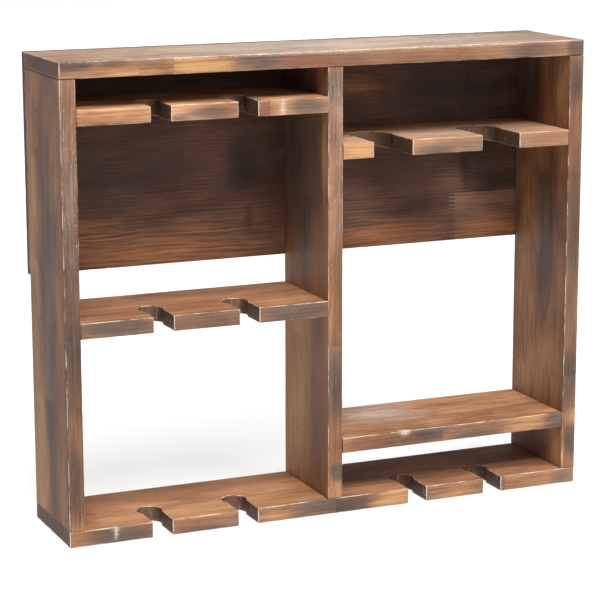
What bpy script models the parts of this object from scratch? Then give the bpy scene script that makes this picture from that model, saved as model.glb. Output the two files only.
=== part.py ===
"""Wall rack for stemmed glasses and bottles.

A shallow open case of stained pine boards, butt-jointed with glue and lost-head nails. Glasses hang
by their feet in the narrow slots. Bottles stand on the low right shelf with their necks in the wide
slots above. The panel behind the upper half is glued up from finger-jointed staves, screwed to the
back of the case, and carries two keyhole plates that hook over screws in the wall.

Frame: metres, +Z up, the open front faces -Y. The origin is the centre of the footprint at the base.
"""

import math

import bmesh
import bpy
from mathutils import Matrix, Vector

# Case
WIDTH = 0.530
HEIGHT = 0.444
CASE_DEPTH = 0.1045
BOARD = 0.015
EASE = 0.0008  # small chamfer that sanding leaves on a board's edges
GAP = 0.0003  # glue line, or the clearance round a fastener

# Panel behind the case
PANEL = 0.008
PANEL_HEIGHT = 0.208
LOWER_STRIP = 0.048
FINGER_PITCH = 0.004
FINGER_LENGTH = 0.0085
FINGER_TIP = 0.001  # width of a finger's blunt end
LOWER_JOINT_X = 0.1768
UPPER_JOINT_X = 0.1935

# Divider and shelves; a shelf's height is that of its upper face
DIVIDER_X = 0.0011
LEFT_UPPER_TOP = 0.4017
LEFT_MIDDLE_TOP = 0.2090
NECK_SHELF_TOP = 0.3570
BOTTLE_SHELF_TOP = 0.0735

# Slots: a straight cut from the front edge into a slightly wider drilled hole
STEM_SLOT = {"width": 0.019, "hole_radius": 0.012, "hole_depth": 0.0375}
NECK_SLOT = {"width": 0.040, "hole_radius": 0.021, "hole_depth": 0.050}
LEFT_SHELF_SLOTS = (-0.04225, 0.04225)  # from the middle of the shelf
NECK_SHELF_SLOTS = (-0.0684, 0.0464)  # from the middle of the shelf
BASE_SLOTS = (-0.1745, -0.0886, 0.0893, 0.1718)  # from the middle of the rack
HOLE_STEPS = 16

# Lost-head nails, punched just below the surface
NAIL_LENGTH = 0.035
NAIL_SET = 0.0008
NAIL_HEAD_RADIUS = 0.0009
NAIL_HEAD = 0.0012
NAIL_NECK = 0.0006
NAIL_RADIUS = 0.0007
NAIL_TIP = 0.002
NAIL_TIP_RADIUS = 0.0003
NAIL_ROWS = {"front": 0.0320, "rear": 0.0735}  # behind the front edge
LOW_NAIL_DROP = 0.005  # a second pair in the bottle shelf's left end, below its middle
LOW_NAIL_SHIFT = 0.004
ROUND_SIDES = 12

# Screws
SCREW_RADIUS = 0.0015
SCREW_HEAD_RADIUS = 0.003
SCREW_HEAD_DEPTH = 0.0018
SCREW_TIP = 0.003
SCREW_TIP_RADIUS = 0.0004
RECESS_SPAN = 0.0032
RECESS_WIDTH = 0.0008
RECESS_DEPTH = 0.0011
PANEL_SCREW_LENGTH = 0.020
HANGER_SCREW_LENGTH = 0.016
TOP_ROW_X = (-0.225, -0.075, 0.075, 0.225)
UPRIGHT_SCREW_Z = (0.325, 0.260)

# Keyhole plates
PLATE = {"width": 0.016, "length": 0.044, "thickness": 0.0016}
PLATE_INSET = 0.0105  # plate's centre line from the outer face of the case
PLATE_Z = 0.395
PLATE_SCREW_OFFSET = 0.0175
KEYHOLE_ENTRY_RADIUS = 0.0045
KEYHOLE_ENTRY_DROP = 0.004
KEYHOLE_SLOT_RADIUS = 0.0022
KEYHOLE_SLOT_RISE = 0.007
SCREW_POCKET = {"width": 0.0115, "length": 0.0235, "depth": 0.0062}

# Planes worked out from the sizes above
FRONT = -(CASE_DEPTH + PANEL) / 2
REAR = FRONT + CASE_DEPTH
WALL = REAR + PANEL
LEFT_INNER = -WIDTH / 2 + BOARD
RIGHT_INNER = WIDTH / 2 - BOARD
DIVIDER_LEFT = DIVIDER_X - BOARD / 2
DIVIDER_RIGHT = DIVIDER_X + BOARD / 2
PANEL_BOTTOM = HEIGHT - PANEL_HEIGHT
STRIP_LINE = PANEL_BOTTOM + LOWER_STRIP

PAST = 0.001  # how far a cutter runs past the face that it opens

FINISHES = {
    "stained_pine": ((0.235, 0.098, 0.045), 0.55, 0.0),
    "dark_stained_pine": ((0.085, 0.042, 0.026), 0.6, 0.0),
    "nail_steel": ((0.30, 0.28, 0.26), 0.5, 1.0),
    "zinc_plated_steel": ((0.56, 0.57, 0.58), 0.35, 1.0),
}

pending_cuts = {}


def clear_scene():
    for old in list(bpy.data.objects):
        bpy.data.objects.remove(old)


def make_finish(name):
    colour, roughness, metallic = FINISHES[name]
    finish = bpy.data.materials.new(name)
    finish.use_nodes = True
    shader = finish.node_tree.nodes["Principled BSDF"]
    shader.inputs["Base Color"].default_value = (*colour, 1.0)
    shader.inputs["Roughness"].default_value = roughness
    shader.inputs["Metallic"].default_value = metallic
    return finish


def place(name, shape, location, finish=None):
    """Turns a bmesh into a named object at a location; the bmesh is freed."""
    shape.normal_update()
    bmesh.ops.recalc_face_normals(shape, faces=shape.faces)
    mesh = bpy.data.meshes.new(name)
    shape.to_mesh(mesh)
    shape.free()
    thing = bpy.data.objects.new(name, mesh)
    thing.location = location
    bpy.context.scene.collection.objects.link(thing)
    if finish:
        mesh.materials.append(finish)
    return thing


# Shapes


def arc(centre_x, centre_y, radius, start, end, steps):
    """Points along an arc, both ends included; angles in radians from +X towards +Y."""
    points = []
    for step in range(steps + 1):
        angle = start + (end - start) * step / steps
        points.append((centre_x + radius * math.cos(angle), centre_y + radius * math.sin(angle)))
    return points


def prism(outline, low, high):
    """A closed solid: an outline in X and Y, raised from low to high in Z."""
    shape = bmesh.new()
    base = shape.faces.new([shape.verts.new((x, y, low)) for x, y in outline])
    raised = bmesh.ops.extrude_face_region(shape, geom=[base])
    lifted = [item for item in raised["geom"] if isinstance(item, bmesh.types.BMVert)]
    bmesh.ops.translate(shape, verts=lifted, vec=(0, 0, high - low))
    return shape


def stadium(width, length, steps=8):
    """Outline of a strip with round ends, its length along Y."""
    radius = width / 2
    reach = length / 2 - radius
    top = arc(0, reach, radius, 0, math.pi, steps)
    bottom = arc(0, -reach, radius, math.pi, 2 * math.pi, steps)
    return top + bottom


def turned(shape, profile, start, direction, sides):
    """Adds a closed turned solid; the profile lists (distance along direction, radius)."""
    turn = direction.to_track_quat("Z", "Y").to_matrix()
    rings = []
    for along, radius in profile:
        ring = []
        for side in range(sides):
            angle = 2 * math.pi * side / sides
            local = Vector((radius * math.cos(angle), radius * math.sin(angle), along))
            ring.append(shape.verts.new(start + turn @ local))
        rings.append(ring)
    for lower, upper in zip(rings, rings[1:]):
        for side in range(sides):
            following = (side + 1) % sides
            shape.faces.new((lower[side], lower[following], upper[following], upper[side]))
    shape.faces.new(list(reversed(rings[0])))
    shape.faces.new(rings[-1])


# Cuts


def cut(thing, shape, label):
    """Takes a shape in world coordinates away from a piece."""
    cutter = place(f"cutter_{label}", shape, (0, 0, 0))
    cutter.hide_render = True
    cutter.display_type = "WIRE"
    boolean = thing.modifiers.new(label, "BOOLEAN")
    boolean.operation = "DIFFERENCE"
    boolean.solver = "EXACT"
    boolean.object = cutter


def drill(piece_name, profile, start, direction):
    """Notes a turned hole, which cut_holes makes with the piece's other holes."""
    pending_cuts.setdefault(piece_name, []).append((profile, start, direction))


def cut_holes():
    for name, holes in pending_cuts.items():
        shape = bmesh.new()
        for profile, start, direction in holes:
            turned(shape, profile, start, direction, ROUND_SIDES)
        cut(bpy.data.objects[name], shape, f"holes_{name}")


# Boards


def ease_edges(thing):
    bevel = thing.modifiers.new("eased_edges", "BEVEL")
    bevel.width = EASE
    bevel.segments = 1
    bevel.limit_method = "ANGLE"
    bevel.angle_limit = math.radians(50)


def board_outline(length, slots, slot):
    """Outline of a flat board seen from above, front edge at -Y, with slots open to the front."""
    half = length / 2
    front = -CASE_DEPTH / 2
    points = [(-half, -front), (-half, front)]
    for middle in slots:
        half_width = slot["width"] / 2
        radius = slot["hole_radius"]
        mouth_angle = math.asin(half_width / radius)
        start = 1.5 * math.pi - mouth_angle
        end = mouth_angle - 0.5 * math.pi
        points.append((middle - half_width, front))
        points += arc(middle, front + slot["hole_depth"], radius, start, end, HOLE_STEPS)
        points.append((middle + half_width, front))
    points += [(half, front), (half, -front)]
    return points


def flat_board(name, left, right, top, finish, slots=(), slot=None):
    """A board that lies flat between two X positions, its upper face at top."""
    shape = prism(board_outline(right - left, slots, slot), -BOARD / 2, BOARD / 2)
    centre = ((left + right) / 2, FRONT + CASE_DEPTH / 2, top - BOARD / 2)
    ease_edges(place(name, shape, centre, finish))


def upright(name, centre_x, finish):
    """A board on edge between the base board and the top board."""
    low = BOARD + GAP
    high = HEIGHT - BOARD - GAP
    half = BOARD / 2
    depth = CASE_DEPTH / 2
    outline = [(-half, -depth), (half, -depth), (half, depth), (-half, depth)]
    shape = prism(outline, (low - high) / 2, (high - low) / 2)
    ease_edges(place(name, shape, (centre_x, FRONT + depth, (low + high) / 2), finish))


def make_case(finish):
    flat_board("top_board", -WIDTH / 2, WIDTH / 2, HEIGHT, finish)
    flat_board("base_board", -WIDTH / 2, WIDTH / 2, BOARD, finish, BASE_SLOTS, STEM_SLOT)
    upright("left_side", LEFT_INNER - BOARD / 2, finish)
    upright("divider", DIVIDER_X, finish)
    upright("right_side", RIGHT_INNER + BOARD / 2, finish)
    left_bay = (LEFT_INNER + GAP, DIVIDER_LEFT - GAP)
    right_bay = (DIVIDER_RIGHT + GAP, RIGHT_INNER - GAP)
    flat_board("left_upper_shelf", *left_bay, LEFT_UPPER_TOP, finish, LEFT_SHELF_SLOTS, STEM_SLOT)
    flat_board("left_middle_shelf", *left_bay, LEFT_MIDDLE_TOP, finish, LEFT_SHELF_SLOTS, STEM_SLOT)
    flat_board("neck_shelf", *right_bay, NECK_SHELF_TOP, finish, NECK_SHELF_SLOTS, NECK_SLOT)
    flat_board("bottle_shelf", *right_bay, BOTTLE_SHELF_TOP, finish)


# Nails


def nail(name, outside, direction, boards, finish):
    """One nail, driven from a board's outer face through it and into the end of the next board."""
    taper = NAIL_HEAD + NAIL_NECK
    profile = [
        (0, NAIL_HEAD_RADIUS),
        (NAIL_HEAD, NAIL_HEAD_RADIUS),
        (taper, NAIL_RADIUS),
        (NAIL_LENGTH - NAIL_TIP, NAIL_RADIUS),
        (NAIL_LENGTH, NAIL_TIP_RADIUS),
    ]
    shape = bmesh.new()
    turned(shape, profile, Vector((0, 0, 0)), direction, ROUND_SIDES)
    place(name, shape, outside + direction * NAIL_SET, finish)
    hole = [
        (-PAST, NAIL_HEAD_RADIUS + GAP),
        (NAIL_SET + NAIL_HEAD, NAIL_HEAD_RADIUS + GAP),
        (NAIL_SET + taper, NAIL_RADIUS + GAP),
        (NAIL_SET + NAIL_LENGTH + GAP, NAIL_RADIUS + GAP),
    ]
    for board in boards:
        drill(board, hole, outside, direction)


def make_nails(finish):
    uprights = {
        "left_side": LEFT_INNER - BOARD / 2,
        "divider": DIVIDER_X,
        "right_side": RIGHT_INNER + BOARD / 2,
    }
    shelves = {
        "left_upper_shelf": (LEFT_UPPER_TOP, LEFT_INNER, "left_side", DIVIDER_LEFT, "divider"),
        "left_middle_shelf": (LEFT_MIDDLE_TOP, LEFT_INNER, "left_side", DIVIDER_LEFT, "divider"),
        "neck_shelf": (NECK_SHELF_TOP, DIVIDER_RIGHT, "divider", RIGHT_INNER, "right_side"),
        "bottle_shelf": (BOTTLE_SHELF_TOP, DIVIDER_RIGHT, "divider", RIGHT_INNER, "right_side"),
    }
    up = Vector((0, 0, 1))
    along = Vector((1, 0, 0))
    for row, depth in NAIL_ROWS.items():
        y = FRONT + depth
        for name, x in uprights.items():
            nail(f"nail_{name}_foot_{row}", Vector((x, y, 0)), up, (name, "base_board"), finish)
            nail(f"nail_{name}_head_{row}", Vector((x, y, HEIGHT)), -up, (name, "top_board"), finish)
        for name, (top, left, left_board, right, right_board) in shelves.items():
            z = top - BOARD / 2
            from_left = Vector((left - BOARD, y, z))
            from_right = Vector((right + BOARD, y, z))
            nail(f"nail_{name}_left_{row}", from_left, along, (name, left_board), finish)
            nail(f"nail_{name}_right_{row}", from_right, -along, (name, right_board), finish)
        low = Vector((DIVIDER_LEFT, y + LOW_NAIL_SHIFT, BOTTLE_SHELF_TOP - BOARD / 2 - LOW_NAIL_DROP))
        nail(f"nail_bottle_shelf_left_low_{row}", low, along, ("bottle_shelf", "divider"), finish)


# Panel


def comb(bottom, top, joint_x, side):
    """Edge of a stave along a finger joint, from bottom to top, as (x, z) points.

    The left stave (side -1) carries the fingers that this counts, and the right stave (side 1) the
    notches that they fill, wider and deeper by the glue line.
    """
    root = joint_x - FINGER_LENGTH / 2 + side * GAP / 2
    tip = joint_x + FINGER_LENGTH / 2 + side * GAP / 2
    half_root = (FINGER_PITCH - FINGER_TIP) / 2 + side * GAP / 2
    half_tip = FINGER_TIP / 2 + side * GAP / 2
    count = round((top - bottom) / FINGER_PITCH)
    pitch = (top - bottom) / count
    points = [(root, bottom)]
    for finger in range(count):
        middle = bottom + (finger + 0.5) * pitch
        points.append((root, middle - half_root))
        points.append((tip, middle - half_tip))
        points.append((tip, middle + half_tip))
        points.append((root, middle + half_root))
    points.append((root, top))
    return points


def stave(name, outline, finish):
    """A panel stave: an outline in X and Z, as thick as the panel, its back on the wall plane."""
    shape = prism(outline, -(WALL - REAR - GAP), 0)
    shape.transform(Matrix.Rotation(math.pi / 2, 4, "X"))
    shape.transform(Matrix.Scale(-1, 4, (0, 1, 0)))
    return place(name, shape, (0, WALL, 0), finish)


def make_panel(finish):
    edge = WIDTH / 2
    strips = {
        "lower": (PANEL_BOTTOM, STRIP_LINE - GAP / 2, LOWER_JOINT_X),
        "upper": (STRIP_LINE + GAP / 2, HEIGHT, UPPER_JOINT_X),
    }
    for strip, (bottom, top, joint_x) in strips.items():
        left = [(-edge, top), (-edge, bottom)] + comb(bottom, top, joint_x, -1)
        right = [(edge, top), (edge, bottom)] + comb(bottom, top, joint_x, 1)
        stave(f"panel_{strip}_left", left, finish)
        stave(f"panel_{strip}_right", right, finish)


def panel_piece_at(x, z):
    """Name of the stave behind a point."""
    if z < STRIP_LINE:
        return "panel_lower_left" if x < LOWER_JOINT_X else "panel_lower_right"
    return "panel_upper_left" if x < UPPER_JOINT_X else "panel_upper_right"


# Screws and keyhole plates


def screw(name, x, z, length, board, finish):
    """A countersunk cross-head screw, driven forward from the wall side, its head flush."""
    head = Vector((x, WALL, z))
    forward = Vector((0, -1, 0))
    profile = [
        (0, SCREW_HEAD_RADIUS),
        (SCREW_HEAD_DEPTH, SCREW_RADIUS),
        (length - SCREW_TIP, SCREW_RADIUS),
        (length, SCREW_TIP_RADIUS),
    ]
    shape = bmesh.new()
    turned(shape, profile, Vector((0, 0, 0)), forward, ROUND_SIDES)
    thing = place(name, shape, head, finish)
    reach = RECESS_SPAN / 2
    half = RECESS_WIDTH / 2
    cross = [(half, half), (half, reach), (-half, reach), (-half, half), (-reach, half), (-reach, -half)]
    cross += [(-half, -half), (-half, -reach), (half, -reach), (half, -half), (reach, -half), (reach, half)]
    recess = prism(cross, -RECESS_DEPTH, PAST)
    recess.transform(Matrix.Translation(head) @ Matrix.Rotation(-math.pi / 2, 4, "X"))
    cut(thing, recess, f"recess_{name}")
    hole = [
        (-PAST, SCREW_HEAD_RADIUS + GAP),
        (0, SCREW_HEAD_RADIUS + GAP),
        (SCREW_HEAD_DEPTH, SCREW_RADIUS + GAP),
        (length + GAP, SCREW_RADIUS + GAP),
    ]
    for piece in (panel_piece_at(x, z), board):
        drill(piece, hole, head, forward)
    return hole


def make_panel_screws(finish):
    side_x = (WIDTH - BOARD) / 2
    places = [(x, HEIGHT - BOARD / 2, "top_board") for x in TOP_ROW_X]
    for z in UPRIGHT_SCREW_Z:
        places.append((-side_x, z, "left_side"))
        places.append((DIVIDER_X, z, "divider"))
        places.append((side_x, z, "right_side"))
    for number, (x, z, board) in enumerate(places, 1):
        screw(f"panel_screw_{number:02d}", x, z, PANEL_SCREW_LENGTH, board, finish)


def keyhole():
    """Outline of a keyhole: a round entry below, a narrow slot that rises from it."""
    meeting = math.asin(KEYHOLE_SLOT_RADIUS / KEYHOLE_ENTRY_RADIUS)
    start = 0.5 * math.pi + meeting
    end = 2.5 * math.pi - meeting
    points = arc(0, -KEYHOLE_ENTRY_DROP, KEYHOLE_ENTRY_RADIUS, start, end, HOLE_STEPS)
    points += arc(0, KEYHOLE_SLOT_RISE, KEYHOLE_SLOT_RADIUS, 0, math.pi, HOLE_STEPS // 2)
    return points


def on_wall_plane(outline, depth, x, z):
    """A prism whose outline lies on the wall plane at x and z, running forward to a depth."""
    shape = prism(outline, -depth, PAST)
    shape.transform(Matrix.Rotation(-math.pi / 2, 4, "X"))
    shape.transform(Matrix.Scale(-1, 4, (0, 0, 1)))
    shape.transform(Matrix.Translation((x, WALL, z)))
    return shape


def hanger(side, x, board, steel):
    """A keyhole plate let into the panel, with the pocket behind it for the wall screw's head."""
    outline = stadium(PLATE["width"], PLATE["length"])
    shape = prism(outline, -PLATE["thickness"], 0)
    shape.transform(Matrix.Rotation(-math.pi / 2, 4, "X"))
    name = f"hanger_plate_{side}"
    plate = place(name, shape, (x, WALL, PLATE_Z), steel)
    cut(plate, on_wall_plane(keyhole(), PLATE["thickness"] + PAST, x, PLATE_Z), f"keyhole_{side}")
    panel = bpy.data.objects[panel_piece_at(x, PLATE_Z)]
    seat = stadium(PLATE["width"] + 2 * GAP, PLATE["length"] + 2 * GAP)
    cut(panel, on_wall_plane(seat, PLATE["thickness"] + GAP, x, PLATE_Z), f"seat_{side}")
    pocket = stadium(SCREW_POCKET["width"], SCREW_POCKET["length"])
    cut(panel, on_wall_plane(pocket, SCREW_POCKET["depth"], x, PLATE_Z), f"pocket_{side}")
    for end, offset in (("top", PLATE_SCREW_OFFSET), ("bottom", -PLATE_SCREW_OFFSET)):
        z = PLATE_Z + offset
        hole = screw(f"hanger_screw_{side}_{end}", x, z, HANGER_SCREW_LENGTH, board, steel)
        drill(name, hole, Vector((x, WALL, z)), Vector((0, -1, 0)))


def main():
    clear_scene()
    finishes = {name: make_finish(name) for name in FINISHES}
    make_case(finishes["stained_pine"])
    make_panel(finishes["dark_stained_pine"])
    make_nails(finishes["nail_steel"])
    make_panel_screws(finishes["zinc_plated_steel"])
    hanger_x = WIDTH / 2 - PLATE_INSET
    hanger("left", -hanger_x, "left_side", finishes["zinc_plated_steel"])
    hanger("right", hanger_x, "right_side", finishes["zinc_plated_steel"])
    cut_holes()


main()
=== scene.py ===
"""Looks of the wall rack for stemmed glasses and bottles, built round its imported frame.

The boards are finger-jointed pine: stained with a rag, scorched in places and rubbed pale along the
edges. Each board and stave is one closed mesh with rounded edges, nail and screw holes, and knocks.
It is made from the frame's boxes, and takes the place of the plain solid of the same name.
"""

import math
import random

import bmesh
import bpy
import numpy as np
from mathutils import Matrix, Vector, geometry


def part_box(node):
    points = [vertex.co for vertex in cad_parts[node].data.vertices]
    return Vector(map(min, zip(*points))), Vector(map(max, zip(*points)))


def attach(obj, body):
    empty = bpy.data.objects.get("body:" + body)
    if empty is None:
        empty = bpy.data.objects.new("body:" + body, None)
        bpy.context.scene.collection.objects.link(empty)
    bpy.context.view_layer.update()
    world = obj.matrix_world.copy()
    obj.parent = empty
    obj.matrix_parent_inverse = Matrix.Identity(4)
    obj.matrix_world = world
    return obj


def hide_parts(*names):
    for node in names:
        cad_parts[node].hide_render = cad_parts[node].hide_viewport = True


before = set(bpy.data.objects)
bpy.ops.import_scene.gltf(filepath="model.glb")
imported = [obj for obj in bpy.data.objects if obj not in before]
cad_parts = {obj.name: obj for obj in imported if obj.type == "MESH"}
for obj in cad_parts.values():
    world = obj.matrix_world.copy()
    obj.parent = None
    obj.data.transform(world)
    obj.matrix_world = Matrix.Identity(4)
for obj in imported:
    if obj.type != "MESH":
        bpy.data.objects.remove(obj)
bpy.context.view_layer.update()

MM = 0.001
ROOT = "root"
GAP = 0.3 * MM  # the frame's clearance round fasteners and along glue lines
SEAM = 0.1 * MM  # what a glue line leaves open between two staves
PAST = 1.0 * MM  # how far a cutter runs past the face that it opens

# Slots: a sawn slot that runs into a slightly wider drilled hole, as in the frame
STEM_SLOT = {"width": 19.0 * MM, "hole_radius": 12.0 * MM, "hole_depth": 37.5 * MM}
NECK_SLOT = {"width": 40.0 * MM, "hole_radius": 21.0 * MM, "hole_depth": 50.0 * MM}
LEFT_SHELF_SLOTS = (-42.25 * MM, 42.25 * MM)  # from the middle of the shelf
NECK_SHELF_SLOTS = (-68.4 * MM, 46.4 * MM)
BASE_SLOTS = (-174.5 * MM, -88.6 * MM, 89.3 * MM, 171.8 * MM)

# Finger joints of the panel, as in the frame
FINGER_PITCH = 4.0 * MM
FINGER_LENGTH = 8.5 * MM
FINGER_TIP = 1.0 * MM

# How a board's edges are finished, by what they do: radius of the rounding
EASED = 1.0 * MM  # open edges of the case, sanded
CRISP = 0.24 * MM  # open edges of the panel, only dulled
BUTTED = 0.2 * MM  # ends that meet another board
GLUED = 0.1 * MM  # panel edges glued and sanded flush
CORNER = 1.3 * MM  # upright corners, seen from above
ROUNDING_STEPS = 3
CORNER_STEPS = 4
HOLE_STEPS = 20
SQUARE_TURN = 0.9  # sine of the turn above which a corner of an outline counts as square
ROUND_TURN = 0.3  # and as part of a rounded corner
STRAIGHT_TURN = 0.02  # below this it counts as none

# Mesh spacing
OUTLINE_SPACING = 2.5 * MM
FACE_SPACING = 3.6 * MM
ROW_SPACING = FACE_SPACING * 0.866  # rows of an even triangle grid
SIDE_SHARES = (0.25, 0.5, 0.75)  # rings of vertices between a board's two faces

# Fasteners, as in the frame
NAIL_PROFILE = ((0.0, 0.9), (1.2, 0.9), (1.8, 0.7), (33.0, 0.7), (35.0, 0.3))  # mm: along, radius
NAIL_HOLE = ((-1.0, 1.15), (2.0, 1.15), (2.6, 0.85), (36.0, 0.85))
NAIL_SET = 0.8 * MM
SCREW_HEAD_RADIUS = 3.0 * MM
SCREW_HEAD_DEPTH = 1.8 * MM
SCREW_RADIUS = 1.5 * MM
SCREW_TIP = 3.0 * MM
THREAD_PITCH = 1.25 * MM
THREAD_DEPTH = 0.4 * MM
THREAD_STEPS = 6  # rings of vertices in one turn of the thread
HEAD_EDGE = 0.15 * MM  # bevel round a screw's head
POINT_SHARE = 0.1  # a screw's point is blunt: a tenth of its thickness is left
CROSS = {"reach": 1.75 * MM, "half_width": 0.42 * MM, "depth": 1.2 * MM}  # a screw's cross recess
CROSS_TAPER = 0.35
ROUND_SIDES = 16

# Keyhole plates, as in the frame
PLATE = {"width": 16.0 * MM, "length": 44.0 * MM, "thickness": 1.6 * MM}
POCKET = {"width": 11.5 * MM, "length": 23.5 * MM, "depth": 6.2 * MM}
ENTRY_RADIUS = 4.5 * MM
ENTRY_DROP = 4.0 * MM
SLOT_RADIUS = 2.2 * MM
SLOT_RISE = 7.0 * MM
PLATE_BEVEL = 0.2 * MM
PLATE_BEVEL_ANGLE = math.radians(50)  # edges sharper than this are bevelled

SEED = 7
WOOD_SMOOTHING = 40  # degrees
STEEL_SMOOTHING = 35

# Node kinds that come up often
MATH = "ShaderNodeMath"
VECTOR = "ShaderNodeVectorMath"
RANGE = "ShaderNodeMapRange"
NOISE = "ShaderNodeTexNoise"
MIX = "ShaderNodeMix"
PARTS_OF_COLOUR = "ShaderNodeSeparateColor"
PARTS_OF_VECTOR = "ShaderNodeSeparateXYZ"


# --- Small helpers -----------------------------------------------------------------------------


def linear(code):
    """Linear RGBA from an sRGB hex code."""
    channels = []
    for start in (0, 2, 4):
        value = int(code[start : start + 2], 16) / 255
        channels.append(value / 12.92 if value <= 0.04045 else ((value + 0.055) / 1.055) ** 2.4)
    return (*channels, 1.0)


def add(tree, kind, sockets=None, stops=(), **settings):
    """Adds a node with its settings, colour stops and links, and returns it."""
    made = tree.nodes.new(kind)
    for key, value in settings.items():
        setattr(made, key, value)
    if stops:
        elements = made.color_ramp.elements
        for _ in stops[len(elements) :]:
            elements.new(0.5)
        for element, (position, colour) in zip(elements, stops):
            element.position = position
            element.color = linear(colour)
    for key, value in (sockets or {}).items():
        if isinstance(value, bpy.types.Node):
            value = next(output for output in value.outputs if output.enabled)
        if isinstance(value, bpy.types.NodeSocket):
            tree.links.new(value, made.inputs[key])
        else:
            made.inputs[key].default_value = value
    return made


def thing(name, mesh):
    """An object at the origin, so that its place is in its mesh."""
    made = bpy.data.objects.new(name, mesh)
    bpy.context.scene.collection.objects.link(made)
    return made


def from_bmesh(name, shape):
    """An object with the shape, its faces turned outwards."""
    shape.normal_update()
    bmesh.ops.recalc_face_normals(shape, faces=shape.faces)
    mesh = bpy.data.meshes.new(name)
    shape.to_mesh(mesh)
    shape.free()
    return thing(name, mesh)


def baked(source, name):
    """A plain mesh of an object with its modifiers applied; the source is removed."""
    bpy.context.view_layer.update()
    graph = bpy.context.evaluated_depsgraph_get()
    mesh = bpy.data.meshes.new_from_object(source.evaluated_get(graph), depsgraph=graph)
    bpy.data.objects.remove(source)
    mesh.name = name
    return thing(name, mesh)


def stand_in_for(piece, nodes, slot_name):
    """The piece rides on the rack's one body and stands for these nodes of the frame."""
    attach(piece, ROOT)
    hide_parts(*nodes)


# --- Outlines ----------------------------------------------------------------------------------
# An outline runs anticlockwise. Each point is (u, v, finish of the edge that follows, sawn or not).


def arc(centre, radius, start, end, steps):
    """Points along a circle, from one angle to another."""
    points = []
    for step in range(steps + 1):
        angle = start + (end - start) * step / steps
        points.append((centre[0] + radius * math.cos(angle), centre[1] + radius * math.sin(angle)))
    return points


def board_outline(u_range, v_range, ends, slots=(), slot=None):
    """A board's face, its length along u and its front edge at the low v, with slots from the front."""
    left, right = u_range
    front, rear = v_range
    points = [(left, rear, ends, 0), (left, front, EASED, 0)]
    for middle in slots:
        half = slot["width"] / 2
        radius = slot["hole_radius"]
        mouth = math.asin(half / radius)
        hole = arc((middle, front + slot["hole_depth"]), radius, 1.5 * math.pi - mouth,
                   mouth - 0.5 * math.pi, HOLE_STEPS)
        points.append((middle - half, front, EASED, 1))
        points += [(u, v, EASED, 1) for u, v in hole]
        points.append((middle + half, front, EASED, 0))
    points += [(right, front, ends, 0), (right, rear, EASED, 0)]
    return points


def comb(bottom, top, joint, side):
    """Edge of a stave along a finger joint, from bottom to top."""
    root = joint - FINGER_LENGTH / 2 + side * SEAM / 2
    tip = joint + FINGER_LENGTH / 2 + side * SEAM / 2
    half_root = (FINGER_PITCH - FINGER_TIP) / 2 + side * SEAM / 2
    half_tip = FINGER_TIP / 2 + side * SEAM / 2
    count = round((top - bottom) / FINGER_PITCH)
    pitch = (top - bottom) / count
    points = [(root, bottom)]
    for finger in range(count):
        middle = bottom + (finger + 0.5) * pitch
        points.append((root, middle - half_root))
        points.append((tip, middle - half_tip))
        points.append((tip, middle + half_tip))
        points.append((root, middle + half_root))
    points.append((root, top))
    return points


def stave_outline(low, high, open_bottom, open_top):
    """A panel stave in X and Z: its outer end, its long edges, and its comb of fingers."""
    is_left = low.x < -high.x
    side = -1 if is_left else 1
    joint = high.x - FINGER_LENGTH / 2 + GAP / 2 if is_left else low.x + FINGER_LENGTH / 2 - GAP / 2
    bottom = low.z if open_bottom else low.z - (GAP - SEAM) / 2
    top = high.z if open_top else high.z + (GAP - SEAM) / 2
    fingers = [(u, v, GLUED, 0) for u, v in comb(bottom, top, joint, side)]
    bottom_finish = CRISP if open_bottom else GLUED
    top_finish = CRISP if open_top else GLUED
    if is_left:
        last = fingers[-1]
        fingers[-1] = (last[0], last[1], top_finish, 0)
        return [(low.x, top, CRISP, 0), (low.x, bottom, bottom_finish, 0), *fingers]
    fingers.reverse()
    last = fingers[-1]
    fingers[-1] = (last[0], last[1], bottom_finish, 0)
    return [*fingers, (high.x, bottom, CRISP, 0), (high.x, top, top_finish, 0)]


def round_corners(outline):
    """Rounds the outline's own corners where two open edges meet outwards at a right angle."""
    points = []
    for i, (u, v, finish, sawn) in enumerate(outline):
        before, after = outline[i - 1], outline[(i + 1) % len(outline)]
        into = Vector((u - before[0], v - before[1])).normalized()
        out = Vector((after[0] - u, after[1] - v)).normalized()
        square = into.cross(out) > SQUARE_TURN
        if not (square and before[2] == EASED and finish == EASED):
            points.append((u, v, finish, sawn))
            continue
        for step in range(CORNER_STEPS + 1):
            turn = 0.5 * math.pi * step / CORNER_STEPS
            shift = (math.sin(turn) - 1) * CORNER * into + (1 - math.cos(turn)) * CORNER * out
            edge_sawn = sawn if step == CORNER_STEPS else 0
            points.append((u + shift.x, v + shift.y, EASED, edge_sawn))
    return points


def spaced(outline):
    """The outline with its long edges divided."""
    points = []
    for i, (u, v, finish, sawn) in enumerate(outline):
        after = outline[(i + 1) % len(outline)]
        parts = max(1, round(math.hypot(after[0] - u, after[1] - v) / OUTLINE_SPACING))
        for part in range(parts):
            share = part / parts
            points.append((u + (after[0] - u) * share, v + (after[1] - v) * share, finish, sawn))
    return points


# --- Boards as closed meshes -------------------------------------------------------------------


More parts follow.
